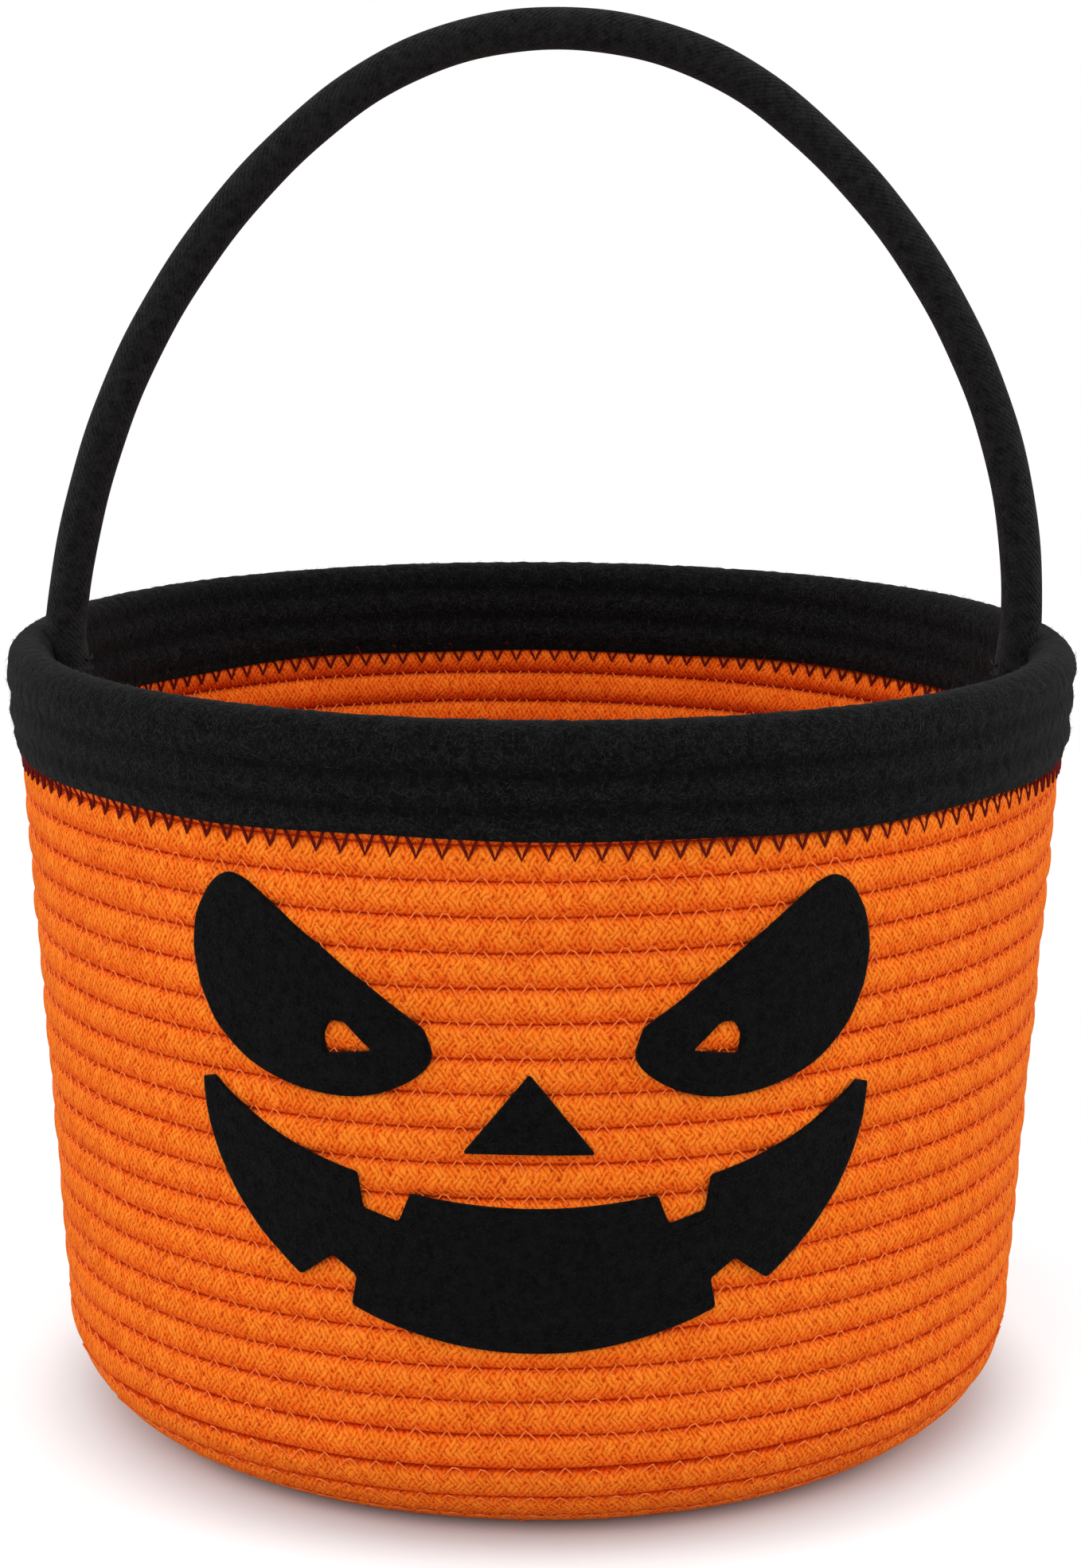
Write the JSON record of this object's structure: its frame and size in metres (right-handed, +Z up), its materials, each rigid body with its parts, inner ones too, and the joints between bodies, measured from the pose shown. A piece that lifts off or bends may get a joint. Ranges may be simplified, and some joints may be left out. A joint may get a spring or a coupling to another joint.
{
  "type": "pumpkin candy basket",
  "caption": "Round pail coiled from orange rope, with a black cloth-bound rim, a folding black rope handle and a black felt jack-o'-lantern face.",
  "frame": {"origin": "middle of the base, on the floor that the pail stands on", "axes": "+Z up, towards the handle's crown; the face looks along -Y; +X is to the right of someone facing the face"},
  "size_m": [0.25, 0.25, 0.3298],
  "materials": {
    "orange_rope": "braided cotton rope, matte",
    "black_cloth": "brushed woven cloth, matte with loose fibres",
    "black_felt": "pressed felt, matte",
    "handle_cloth": "fine twill cloth, matte",
    "core_rope": "plain cotton rope"
  },
  "bodies": {
    "basket": {"base_coil": "orange_rope", "wall_coil": "orange_rope", "rim_band": "black_cloth", "handle_tail_left": "handle_cloth", "handle_tail_right": "handle_cloth", "left_eye": "black_felt", "right_eye": "black_felt", "nose": "black_felt", "mouth": "black_felt"},
    "handle": {"handle_sleeve": "handle_cloth", "handle_core": "core_rope"}
  },
  "joints": [
    {"name": "handle_fold", "type": "hinge", "parent": "basket", "child": "handle", "pos_m": [0, 0, 0.187], "axis": [1, 0, 0], "range_deg": [-85, 85], "stiffness_Nm_per_rad": 0.1}
  ]
}
